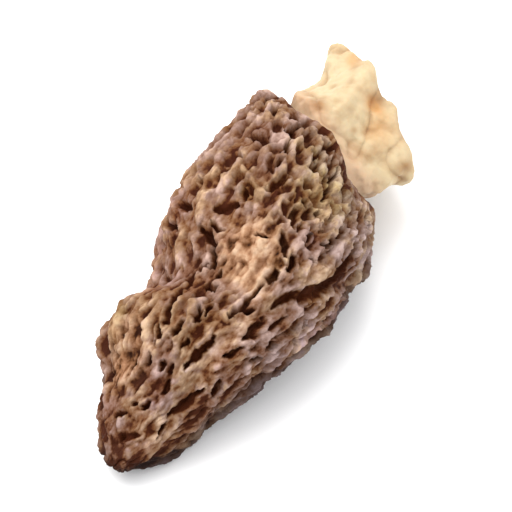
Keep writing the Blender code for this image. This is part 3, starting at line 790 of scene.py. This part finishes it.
def hollow_rings(angle):
    """Down the socket to the stem's seat, and round the hollow."""
    rings = []
    first_x = CAP_LENGTH - SOCKET_DEPTH
    top = CAP_LENGTH - SOCKET_FOLLOWS * margin_retreat(angle)
    for share in shares(SOCKET_ROWS):
        rings.append(point_at(top + (first_x - top) * share, SOCKET_RADIUS, angle))
    for share in shares(SEAT_ROWS):
        rings.append(point_at(first_x, SOCKET_RADIUS + (HOLLOW_MOUTH - SOCKET_RADIUS) * share, angle))
    for share in shares(HOLLOW_ROWS):
        x = first_x + (HOLLOW_FRONT - first_x) * share
        front = np.clip((x - HOLLOW_FRONT) / HOLLOW_NOSE, 0.004, 1.0)
        reach = (body_reach(x, angle) - fold_depth(x, angle) - WALL) * np.sqrt(1.0 - (1.0 - front) ** 2)
        opening = smooth_step(0.0, HOLLOW_ROUNDING, first_x - x)
        reach = HOLLOW_MOUTH + (reach - HOLLOW_MOUTH) * opening
        smooth = point_at(x, reach, angle)
        lumps = 0.00025 * noise(smooth, 0.0022, 51, 1.5) + 0.00010 * noise(smooth, 0.0009, 52)
        rings.append(point_at(x, reach + lumps * opening, angle))
    return rings


def join(start, count, next_start, next_count):
    """Faces between two rings, of which one may have half the other's points."""
    if count == next_count:
        k = np.arange(count)
        following = (k + 1) % count
        return np.stack((start + k, start + following, next_start + following, next_start + k), 1).tolist()
    k = np.arange(min(count, next_count))
    few, many, way = (start, next_start, 1) if count < next_count else (next_start, start, -1)
    odd = many + 2 * k + 1
    after = many + (2 * k + 2) % (2 * len(k))
    squares = np.stack((few + k, few + (k + 1) % len(k), after, odd), 1)
    corners = np.stack((few + k, odd, odd - 1), 1)
    return squares[:, ::way].tolist() + corners[:, ::way].tolist()


def piece_from_rings(name, rings, tones, ends_meet):
    """A closed mesh through the rings, closed by a point at both ends or by joining last to first."""
    counts = [len(ring) for ring in rings]
    starts = np.concatenate(([0], np.cumsum(counts)[:-1])).tolist()
    points = np.concatenate(rings) - ORIGIN_FROM_TIP
    faces = []
    for number in range(len(rings) - 1):
        faces += join(starts[number], counts[number], starts[number + 1], counts[number + 1])
    if ends_meet:
        faces += join(starts[-1], counts[-1], starts[0], counts[0])
    else:
        first, last = len(points), len(points) + 1
        ends = np.stack((rings[0].mean(axis=0), rings[-1].mean(axis=0))) - ORIGIN_FROM_TIP
        points = np.concatenate((points, ends))
        faces += [(first, (k + 1) % counts[0], k) for k in range(counts[0])]
        at, count = starts[-1], counts[-1]
        faces += [(at + k, at + (k + 1) % count, last) for k in range(count)]
        for row in tones.values():
            row += [row[0][:1], row[-1][:1]]
    mesh = bpy.data.meshes.new(name)
    mesh.from_pydata(points.tolist(), [], faces)
    for tone, row in tones.items():
        layer = mesh.attributes.new(tone, "FLOAT", "POINT")
        layer.data.foreach_set("value", np.concatenate(row).astype(np.float32))
    mesh.shade_smooth()
    piece = bpy.data.objects.new(name, mesh)
    bpy.context.scene.collection.objects.link(piece)
    return piece


def cap_piece():
    rings, tones = cap_outside()
    angle = ring_angles(CAP_AROUND)
    edge = lip_rings(rings[-1], angle)
    half = edge.pop()[::2]
    inner = [half] + hollow_rings(ring_angles(TIP_AROUND))
    border = {name: row[-1] for name, row in tones.items()}
    # The lip turns to a dark tone towards the socket: painted shade in the gap between the cap and the stem
    for share in shares(LIP_ROWS)[:-1]:
        for name, row in tones.items():
            goal = {"relief": 0.3, "wrinkle_shading": 0.4}.get(name, 0.0)
            row.append(goal + (border[name] - goal) * (1.0 - share))
    # The socket and the stem's seat keep that dark tone as painted shade round the stem; only the hollow
    # past them has the lining
    for number, ring in enumerate(inner):
        lining = 1.0 if number > SOCKET_ROWS + SEAT_ROWS else 0.0
        for name, row in tones.items():
            row.append(np.full(len(ring), {"relief": 0.3, "inside": lining}.get(name, 0.0)))
    return piece_from_rings("cap_skin", rings + edge + inner, tones, ends_meet=False)


def stem_folds(x, angle):
    """How far the stem's crumpled wall stands out or in at a place."""
    crumple = smooth_step(CAP_LENGTH - SOCKET_DEPTH, CAP_LENGTH + SWELL_AFTER, x)
    height = np.zeros_like(x)
    for depth, around, phase, twist in STEM_FOLDS:
        height = height + depth * np.cos(around * angle + phase + twist * x)
    return crumple * height


def stem_end(angle):
    """x of the torn rim, with its waves and its notch."""
    end = CAP_LENGTH + STEM_LENGTH
    for height, around, phase in TORN_RIM:
        end = end + height * np.sin(around * angle + phase)
    end = end - NOTCH_DEPTH * fade_round(angle, *NOTCH_SIDE)
    circle = on_circle(angle)
    return end + 0.00022 * noise(circle, 0.22, 61) + 0.00012 * noise(circle, 0.08, 62)


def torn_lobes(x, angle):
    """The flap that has turned out over the cap's margin, the pinch behind it and the flared end."""
    flap = 0.0012 * spot(x, angle, 0.0474, 58, 0.0013, 30)
    pinch = 0.0009 * spot(x, angle, 0.0510, 38, 0.0018, 30)
    flare = 0.0010 * smooth_step(0.0522, 0.0560, x) * spot(x, angle, x, 18, 1.0, 36)
    low_side = 0.0013 * smooth_step(0.0485, 0.0520, x) * spot(x, angle, x, 184, 1.0, 30)
    dimple = 0.0006 * spot(x, angle, 0.0540, 113, 0.0010, 9)
    groove = 0.0004 * spot(x, angle, 0.0522, 136, 0.0020, 9)
    return flap - pinch + flare + low_side - dimple - groove


def stem_rings():
    """The stem's outside from foot to torn rim, over the rim, and back down its inside."""
    outer = [(row / STEM_OUTER_ROWS, 0.0, 0.0) for row in range(STEM_OUTER_ROWS)]
    half_wall = STEM_WALL / 2
    rim = []
    for row in range(STEM_RIM_ROWS + 1):
        turn = math.pi * row / STEM_RIM_ROWS
        rim.append((1.0, half_wall * (1.0 - math.cos(turn)), half_wall * math.sin(turn)))
    inner = [(1.0 - row / STEM_INNER_ROWS, STEM_WALL, 0.0) for row in range(1, STEM_INNER_ROWS + 1)]
    rows = np.array(outer + rim + inner)
    share, depth, over = (np.repeat(column[:, None], STEM_AROUND, axis=1) for column in rows.T)
    angle = np.tile(ring_angles(STEM_AROUND), (len(rows), 1))
    foot = CAP_LENGTH - SOCKET_DEPTH + CLEARANCE
    x = foot + (stem_end(angle) - half_wall - foot) * share + over
    swell = smooth_step(CAP_LENGTH - SWELL_BEFORE, CAP_LENGTH + SWELL_AFTER, x)
    free = smooth_step(CAP_LENGTH - SWELL_BEFORE, CAP_LENGTH + 0.4 * SWELL_AFTER, x)
    reach = NECK_RADIUS + (STEM_SWELL - NECK_RADIUS) * swell + stem_folds(x, angle)
    reach = reach + torn_lobes(x, angle)
    smooth = point_at(x, reach, angle)
    hills = noise(smooth, 0.0034, 71)
    knobs = noise(smooth, 0.0016, 72)
    dips = smooth_step(0.05, 0.75, -hills)
    fine_dips = smooth_step(0.10, 0.80, -knobs)
    pleats = (1.0 - creases(smooth, 0.0030, 73, 2.0)) ** 4
    lumps = 0.00055 * hills + 0.00034 * knobs - 0.00030 * pleats
    fine = 0.00011 * noise(smooth - depth[..., None], 0.0007, 75)
    point = point_at(x, reach + (lumps + fine) * free - depth, angle)
    tones = {
        # Darker tan in the dips and pleats: painted shade
        "dips": unit(0.60 * dips + 0.35 * fine_dips + 0.35 * pleats) * free,
        "inside": smooth_step(0.3 * STEM_WALL, STEM_WALL, depth),
        "near_cap": 1.0 - smooth_step(CAP_LENGTH + 0.0005, CAP_LENGTH + 0.0040, x),
        "tan": patches(x, angle, smooth, TAN_ON_STEM, 76),
        # Brown spots, partly painted shade by the cap's margin and at the stem's edges
        "brown": patches(x, angle, smooth, BROWN_AND_SHADE_ON_STEM, 77),
    }
    return list(point), {name: list(tone) for name, tone in tones.items()}


def stem_piece():
    rings, tones = stem_rings()
    return piece_from_rings("stem_skin", rings, tones, ends_meet=True)


def add_node(tree, kind, settings=None, values=None):
    """A shader node with its settings and the values of its unlinked inputs."""
    made = tree.nodes.new(kind)
    for name, value in (settings or {}).items():
        setattr(made, name, value)
    for name, value in (values or {}).items():
        made.inputs[name].default_value = value
    return made


def feed(tree, socket, value):
    """Give an input another socket, an attribute of the mesh by its name, a colour or a number."""
    if isinstance(value, str):
        value = add_node(tree, "ShaderNodeAttribute", {"attribute_name": value}).outputs["Fac"]
    if isinstance(value, bpy.types.NodeSocket):
        tree.links.new(value, socket)
    elif isinstance(value, tuple):
        socket.default_value = (*value, 1.0)
    else:
        socket.default_value = value


def add_ramp(tree, factor, stops):
    """A colour ramp with stops of (position, colour)."""
    ramp = add_node(tree, "ShaderNodeValToRGB")
    elements = ramp.color_ramp.elements
    elements[0].position, elements[0].color = stops[0][0], (*stops[0][1], 1.0)
    elements[1].position, elements[1].color = stops[-1][0], (*stops[-1][1], 1.0)
    for position, colour in stops[1:-1]:
        elements.new(position).color = (*colour, 1.0)
    feed(tree, ramp.inputs["Fac"], factor)
    return ramp.outputs["Color"]


def add_math(tree, operation, first, second):
    """A maths node. Its inputs, like a mix's, are whatever feed takes."""
    made = add_node(tree, "ShaderNodeMath", {"operation": operation})
    feed(tree, made.inputs[0], first)
    feed(tree, made.inputs[1], second)
    return made.outputs["Value"]


def add_mix(tree, share, first, second, blend="MIX"):
    """The first colour with a share of the second, or with a share of the blend of both."""
    made = add_node(tree, "ShaderNodeMix", {"data_type": "RGBA", "blend_type": blend})
    for number, value in ((0, share), (6, first), (7, second)):
        feed(tree, made.inputs[number], value)
    return made.outputs[2]


def add_noise(tree, where, scale, roughness):
    """Noise on a coordinate, from 0 to 1."""
    made = add_node(tree, "ShaderNodeTexNoise", values={"Detail": 4.0, "Roughness": roughness})
    tree.links.new(where, made.inputs["Vector"])
    tree.links.new(scale, made.inputs["Scale"])
    return made.outputs["Fac"]


def add_smooth_step(tree, value, low, high, top=1.0):
    """From 0 at the low value to the top at the high one."""
    limits = {"From Min": low, "From Max": high, "To Max": top}
    made = add_node(tree, "ShaderNodeMapRange", {"interpolation_type": "SMOOTHSTEP"}, limits)
    feed(tree, made.inputs["Value"], value)
    return made.outputs["Result"]


def add_sum(tree, *terms, middle=0.0):
    """The sum of some values, each less the middle and times its share."""
    total = -middle * sum(share for _, share in terms)
    for value, share in terms:
        total = add_math(tree, "ADD", add_math(tree, "MULTIPLY", value, share), total)
    return total


def grain_group():
    """Fine leathery grain: fibres that run lengthwise, flecks, small patches and broad mottling."""
    tree = bpy.data.node_groups.new("leathery_grain", "ShaderNodeTree")
    names = ("Fibres", "Flecks", "Patches", "Mottling")
    for name in names:
        size = tree.interface.new_socket(name + " Size", in_out="INPUT", socket_type="NodeSocketFloat")
        size.default_value = 0.001
        tree.interface.new_socket(name, in_out="OUTPUT", socket_type="NodeSocketFloat")
    sizes = add_node(tree, "NodeGroupInput").outputs
    output = add_node(tree, "NodeGroupOutput")
    where = add_node(tree, "ShaderNodeTexCoord").outputs["Object"]
    long = add_node(tree, "ShaderNodeMapping", values={"Scale": (0.38, 1.0, 1.0)})
    tree.links.new(where, long.inputs["Vector"])
    for name, roughness in zip(names, (0.65, 0.60, 0.55, 0.50)):
        vector = long.outputs["Vector"] if name == "Fibres" else where
        scale = add_math(tree, "DIVIDE", 1.0, sizes[name + " Size"])
        tree.links.new(add_noise(tree, vector, scale, roughness), output.inputs[name])
    return tree


def add_grain(tree, group, fibres, flecks, patches, mottling):
    """The grain in a material, with the size of each of its marks in metres."""
    made = add_node(tree, "ShaderNodeGroup", {"node_tree": group})
    sizes = {"Fibres": fibres, "Flecks": flecks, "Patches": patches, "Mottling": mottling}
    for name, size in sizes.items():
        made.inputs[name + " Size"].default_value = size
    return made.outputs


def new_material(name, roughness, specular):
    made = bpy.data.materials.new(name)
    made.use_nodes = True
    shader = made.node_tree.nodes["Principled BSDF"]
    shader.inputs["Roughness"].default_value = roughness
    shader.inputs["Specular IOR Level"].default_value = specular
    return made, made.node_tree, shader


def add_bump(tree, shader, height, distance, strength):
    bump = add_node(tree, "ShaderNodeBump", values={"Strength": strength, "Distance": distance})
    tree.links.new(height, bump.inputs["Height"])
    tree.links.new(bump.outputs["Normal"], shader.inputs["Normal"])


# The ramps' stops, from the darkest tone to the palest. The cap's tone follows the net's height, so its dark
# stops are painted shade in the pits and slots
CAP_COLOURS = (
    (0.00, (0.041, 0.008, 0.001)),
    (0.12, (0.082, 0.027, 0.008)),
    (0.26, (0.134, 0.061, 0.029)),
    (0.42, (0.172, 0.096, 0.059)),
    (0.58, (0.216, 0.135, 0.093)),
    (0.74, (0.282, 0.190, 0.137)),
    (0.88, (0.352, 0.243, 0.182)),
    (1.00, (0.420, 0.304, 0.231)),
)
RUBBED_COLOURS = (
    (0.00, (0.018, 0.006, 0.002)),
    (0.18, (0.126, 0.050, 0.018)),
    (0.34, (0.236, 0.111, 0.055)),
    (0.62, (0.382, 0.216, 0.123)),
    (1.00, (0.530, 0.360, 0.240)),
)
# The stem's stops run from pale to dark, and its darker ones are painted shade in its dips and pleats
STEM_COLOURS = (
    (0.00, (0.462, 0.364, 0.221)),
    (0.35, (0.391, 0.281, 0.156)),
    (0.70, (0.304, 0.189, 0.090)),
    (1.00, (0.212, 0.120, 0.048)),
)
LINING_COLOURS = ((0.30, (0.300, 0.190, 0.100)), (0.70, (0.640, 0.480, 0.310)))


def cap_material(grain):
    """Dark brown pits and slots, which is painted shade, taupe ridges with painted highlights on their
    crests, warm worn patches, a greyer flank, and a bottom painted dark grey with shade.
    """
    made, tree, shader = new_material("dried_cap_skin", 0.62, 0.10)
    texture = add_grain(tree, grain, 0.00036, 0.00075, 0.0022, 0.0050)
    uneven = add_sum(
        tree,
        (texture["Flecks"], 0.40),
        (texture["Fibres"], 0.50),
        (texture["Patches"], 1.75),
        (texture["Mottling"], 0.80),
        ("wrinkle_shading", 0.75),
        middle=0.5,
    )
    uneven = add_math(tree, "MULTIPLY", uneven, add_smooth_step(tree, "relief", -0.80, 0.70))
    # The tone follows the net's height, which paints shade into the pits and slots; crest lines get a
    # painted highlight and shaded spots painted shade
    raised = add_smooth_step(tree, "relief", 0.14, 0.86, 0.54)
    marks = add_sum(tree, ("crest", 0.18), ("pale", 0.14), ("tip", -0.13), ("shaded", -0.16))
    tone = add_sum(tree, (raised, 1.0), (marks, 1.0), (uneven, 1.0))
    skin = add_ramp(tree, tone, CAP_COLOURS)
    warm = add_mix(tree, 1.0, skin, (1.09, 0.99, 0.78), "MULTIPLY")
    cool = add_mix(tree, 1.0, skin, (0.98, 0.92, 1.02), "MULTIPLY")
    hue = add_sum(tree, (texture["Mottling"], 0.6), (texture["Patches"], -0.4), (texture["Flecks"], 0.3))
    skin = add_mix(tree, add_smooth_step(tree, hue, 0.18, 0.34), cool, warm)
    grey = add_math(tree, "MINIMUM", add_sum(tree, ("flank", 1.0), ("tip", 0.7)), 1.0)
    skin = add_mix(tree, "olive", skin, (0.96, 1.05, 0.81), "MULTIPLY")
    skin = add_mix(tree, "pink", skin, (1.03, 0.93, 1.02), "MULTIPLY")
    skin = add_mix(tree, grey, skin, (0.94, 1.06, 1.20), "MULTIPLY")
    rubbed = add_ramp(tree, tone, RUBBED_COLOURS)
    skin = add_mix(tree, "rubbed", skin, rubbed)
    # Painted shade darkens the underside near the floor
    skin = add_mix(tree, "low", skin, (0.20, 0.180, 0.195), "MULTIPLY")
    lining = add_ramp(tree, texture["Flecks"], LINING_COLOURS)
    skin = add_mix(tree, "inside", skin, lining)
    tree.links.new(skin, shader.inputs["Base Color"])
    gloss = add_math(tree, "ADD", add_math(tree, "MULTIPLY", texture["Fibres"], 0.35), 0.50)
    tree.links.new(gloss, shader.inputs["Roughness"])
    add_bump(tree, shader, add_sum(tree, (texture["Flecks"], 0.9), (texture["Fibres"], 1.0)), 0.00018, 1.0)
    return made


def stem_material(grain):
    """Cream flesh, tan in its dips and pleats, which is painted shade, tan and brown spots, the brown ones
    partly painted shade, and pinkish where it comes out of the cap.
    """
    made, tree, shader = new_material("dried_stem_flesh", 0.60, 0.30)
    texture = add_grain(tree, grain, 0.00040, 0.00085, 0.0030, 0.0065)
    uneven = add_sum(tree, (texture["Flecks"], 0.6), (texture["Patches"], 0.8), middle=0.5)
    tone = add_sum(tree, ("dips", 1.0), (uneven, 1.0))
    flesh = add_ramp(tree, tone, STEM_COLOURS)
    for name, tint in (
        ("near_cap", (0.98, 0.84, 0.86)),
        ("tan", (0.95, 0.66, 0.42)),
        ("brown", (0.55, 0.37, 0.21)),
        ("inside", (0.86, 0.80, 0.72)),
    ):
        flesh = add_mix(tree, name, flesh, tint, "MULTIPLY")
    tree.links.new(flesh, shader.inputs["Base Color"])
    shader.inputs["Subsurface Weight"].default_value = 0.25
    shader.inputs["Subsurface Radius"].default_value = (1.0, 0.5, 0.25)
    shader.inputs["Subsurface Scale"].default_value = 0.0008
    add_bump(tree, shader, add_sum(tree, (texture["Flecks"], 1.0), (texture["Fibres"], 0.6)), 0.00012, 0.7)
    return made


def add_floor():
    bpy.ops.mesh.primitive_plane_add(size=4.0, location=(0.0, 0.0, 0.0))
    floor = bpy.context.object
    floor.name = "floor"
    made, _, shader = new_material("pale_floor", 0.9, 0.1)
    shader.inputs["Base Color"].default_value = (0.93, 0.93, 0.94, 1.0)
    floor.data.materials.append(made)


def add_light(name, towards, distance, size, power, colour):
    """A square area light that stands off in a direction and shines at the mushroom's middle."""
    light = bpy.data.lights.new(name, "AREA")
    light.size = size
    light.energy = power
    light.color = colour
    stand = bpy.data.objects.new(name, light)
    way = Vector(towards).normalized()
    stand.location = Vector((0.0, 0.0, 0.009)) + way * distance
    stand.rotation_euler = way.to_track_quat("Z", "Y").to_euler()
    bpy.context.scene.collection.objects.link(stand)


def add_world(strength):
    world = bpy.data.worlds.new("studio")
    world.use_nodes = True
    sky = world.node_tree.nodes["Background"]
    sky.inputs["Color"].default_value = (1.0, 1.0, 1.0, 1.0)
    sky.inputs["Strength"].default_value = strength
    bpy.context.scene.world = world


# The photograph's viewing angle, and how the mushroom lies in the frame
AZIMUTH = math.radians(-62.3)
ELEVATION = math.radians(45.0)
LENS = 812.0
DISTANCE = 1.2
AIM = Vector((0.0029, 0.0026, 0.0037))


def add_camera():
    camera = bpy.data.objects.new("camera", bpy.data.cameras.new("camera"))
    camera.data.lens = LENS
    camera.data.clip_start = 0.01
    level = math.cos(ELEVATION)
    back = Vector((math.sin(AZIMUTH) * level, -math.cos(AZIMUTH) * level, math.sin(ELEVATION)))
    camera.location = AIM + back * DISTANCE
    camera.rotation_euler = back.to_track_quat("Z", "Y").to_euler()
    bpy.context.scene.collection.objects.link(camera)
    bpy.context.scene.camera = camera


def dress(piece, node, finish):
    piece.data.materials.append(finish)
    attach(piece, "root")
    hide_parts(node)


grain = grain_group()
dress(cap_piece(), "cap", cap_material(grain))
dress(stem_piece(), "stem", stem_material(grain))
add_floor()
add_world(1.50)
add_light("key", (0.10, 0.62, 1.45), 0.60, 0.72, 4.35, (1.0, 0.985, 0.96))
add_light("fill", (-0.9, -0.6, 1.1), 0.70, 0.60, 0.5, (0.97, 0.985, 1.0))
add_camera()
bpy.context.scene.view_settings.view_transform = "Standard"
